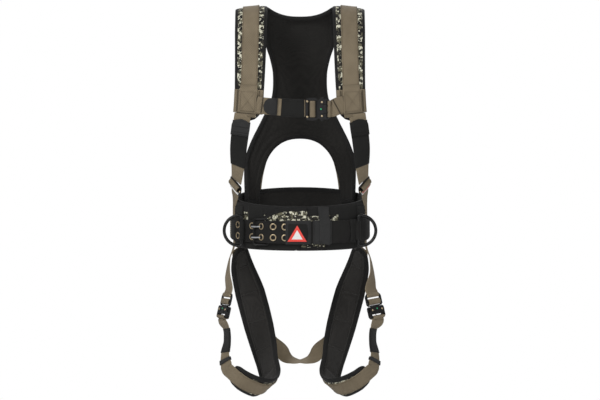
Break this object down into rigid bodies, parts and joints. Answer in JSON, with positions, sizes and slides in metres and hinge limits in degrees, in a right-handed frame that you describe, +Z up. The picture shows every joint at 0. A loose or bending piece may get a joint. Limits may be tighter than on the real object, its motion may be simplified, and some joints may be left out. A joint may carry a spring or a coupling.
{
  "type": "safety harness",
  "caption": "Full-body fall-arrest safety harness with padded shoulders, back, waist belt and leg loops, tan webbing, a dorsal ring and quick-connect buckles.",
  "frame": {"origin": "outer face of the dorsal plate, at its centre, where the harness hangs by its dorsal ring", "axes": "+Z up along the wearer's spine, +Y out of the wearer's back, +X towards the wearer's left"},
  "size_m": [0.4553, 0.2893, 1.0567],
  "materials": {
    "tan_webbing": "matt woven polyester",
    "black_webbing": "matt woven polyester",
    "pad_mesh": "matt mesh over foam",
    "camo_fabric": "printed matt fabric",
    "black_metal": "satin black coating",
    "bright_metal": "brushed",
    "moulded_plastic": "fine grain",
    "patch_red": "matt moulded"
  },
  "bodies": {
    "harness": {"back_pad": "pad_mesh", "belt_patch": "patch_red", "belt_tail_keeper": "black_webbing", "chest_buckle_housing": "black_metal", "chest_buckle_tongue": "black_metal", "chest_strap_sleeve": "black_webbing", "chest_strap_tab": "black_webbing", "dorsal_plate": "moulded_plastic", "left_adjuster_frame": "black_metal", "left_chest_loop": "tan_webbing", "left_chest_strap": "tan_webbing", "left_hip_webbing": "tan_webbing", "left_leg_buckle_housing": "black_metal", "left_leg_buckle_tongue": "black_metal", "left_leg_keeper": "black_webbing", "left_leg_pad": "pad_mesh", "left_leg_sleeve": "black_webbing", "left_leg_webbing": "tan_webbing", "left_ring_holder": "black_webbing", "left_shoulder_pad": "camo_fabric", "left_shoulder_webbing": "tan_webbing", "left_torso_sleeve": "black_webbing", "left_torso_webbing": "tan_webbing", "patch_keeper": "black_webbing", "right_adjuster_frame": "black_metal", "right_chest_loop": "tan_webbing", "right_chest_strap": "tan_webbing", "right_hip_webbing": "tan_webbing", "right_leg_buckle_housing": "black_metal", "right_leg_buckle_tongue": "black_metal", "right_leg_keeper": "black_webbing", "right_leg_pad": "pad_mesh", "right_leg_sleeve": "black_webbing", "right_leg_webbing": "tan_webbing", "right_ring_holder": "black_webbing", "right_shoulder_pad": "camo_fabric", "right_shoulder_webbing": "tan_webbing", "right_torso_sleeve": "black_webbing", "right_torso_webbing": "tan_webbing", "seat_strap": "tan_webbing", "waist_belt": "black_webbing", "waist_buckle_frame": "black_metal", "waist_pad": "pad_mesh"},
    "dorsal_ring_body": {"dorsal_ring": "black_metal"},
    "left_side_ring_body": {"left_side_ring": "black_metal"},
    "right_side_ring_body": {"right_side_ring": "black_metal"},
    "waist_buckle_prong_upper_body": {"waist_buckle_prong_upper": "bright_metal"},
    "waist_buckle_prong_lower_body": {"waist_buckle_prong_lower": "bright_metal"},
    "chest_release_lever_a_body": {"chest_release_lever_a": "black_metal"},
    "chest_release_lever_b_body": {"chest_release_lever_b": "black_metal"},
    "left_leg_release_lever_a_body": {"left_leg_release_lever_a": "black_metal"},
    "left_leg_release_lever_b_body": {"left_leg_release_lever_b": "black_metal"},
    "right_leg_release_lever_a_body": {"right_leg_release_lever_a": "black_metal"},
    "right_leg_release_lever_b_body": {"right_leg_release_lever_b": "black_metal"},
    "chest_buckle_slide_bar_body": {"chest_buckle_slide_bar": "black_metal"},
    "left_adjuster_bar_body": {"left_adjuster_bar": "black_metal"},
    "right_adjuster_bar_body": {"right_adjuster_bar": "black_metal"}
  },
  "joints": [
    {"name": "dorsal_ring_swing", "type": "hinge", "parent": "harness", "child": "dorsal_ring_body", "pos_m": [0, 0.00665, 0.014], "axis": [1, 0, 0], "range_deg": [0, 165]},
    {"name": "left_side_ring_swing", "type": "hinge", "parent": "harness", "child": "left_side_ring_body", "pos_m": [0.15594, -0.2146, -0.44005], "axis": [0, 0, 1], "range_deg": [-100, 32]},
    {"name": "right_side_ring_swing", "type": "hinge", "parent": "harness", "child": "right_side_ring_body", "pos_m": [-0.15594, -0.2146, -0.44005], "axis": [0, 0, -1], "range_deg": [-100, 32]},
    {"name": "upper_prong_lift", "type": "hinge", "parent": "harness", "child": "waist_buckle_prong_upper_body", "pos_m": [-0.08538, -0.25095, -0.44364], "axis": [0, 0, 1], "range_deg": [0, 9]},
    {"name": "lower_prong_lift", "type": "hinge", "parent": "harness", "child": "waist_buckle_prong_lower_body", "pos_m": [-0.08538, -0.25095, -0.44364], "axis": [0, 0, 1], "range_deg": [0, 9]},
    {"name": "chest_lever_press_a", "type": "slide", "parent": "harness", "child": "chest_release_lever_a_body", "axis": [0, 0, 1], "range_m": [0, 0.003], "stiffness_N_per_m": 800},
    {"name": "chest_lever_press_b", "type": "slide", "parent": "harness", "child": "chest_release_lever_b_body", "axis": [0, 0, -1], "range_m": [0, 0.003], "stiffness_N_per_m": 800},
    {"name": "left_leg_lever_press_a", "type": "slide", "parent": "harness", "child": "left_leg_release_lever_a_body", "axis": [0.6904, 0.715, 0.1102], "range_m": [0, 0.003], "stiffness_N_per_m": 800},
    {"name": "left_leg_lever_press_b", "type": "slide", "parent": "harness", "child": "left_leg_release_lever_b_body", "axis": [-0.6904, -0.715, -0.1102], "range_m": [0, 0.003], "stiffness_N_per_m": 800},
    {"name": "right_leg_lever_press_a", "type": "slide", "parent": "harness", "child": "right_leg_release_lever_a_body", "axis": [-0.438, 0.8979, 0.0438], "range_m": [0, 0.003], "stiffness_N_per_m": 800},
    {"name": "right_leg_lever_press_b", "type": "slide", "parent": "harness", "child": "right_leg_release_lever_b_body", "axis": [0.438, -0.8979, -0.0438], "range_m": [0, 0.003], "stiffness_N_per_m": 800},
    {"name": "chest_bar_slide", "type": "slide", "parent": "harness", "child": "chest_buckle_slide_bar_body", "axis": [1, 0, 0], "range_m": [-0.004, 0.004]},
    {"name": "left_adjuster_slide", "type": "slide", "parent": "harness", "child": "left_adjuster_bar_body", "axis": [-0.1039, -0.6249, 0.7738], "range_m": [-0.004, 0.004]},
    {"name": "right_adjuster_slide", "type": "slide", "parent": "harness", "child": "right_adjuster_bar_body", "axis": [0.1039, -0.6249, 0.7738], "range_m": [-0.004, 0.004]}
  ]
}
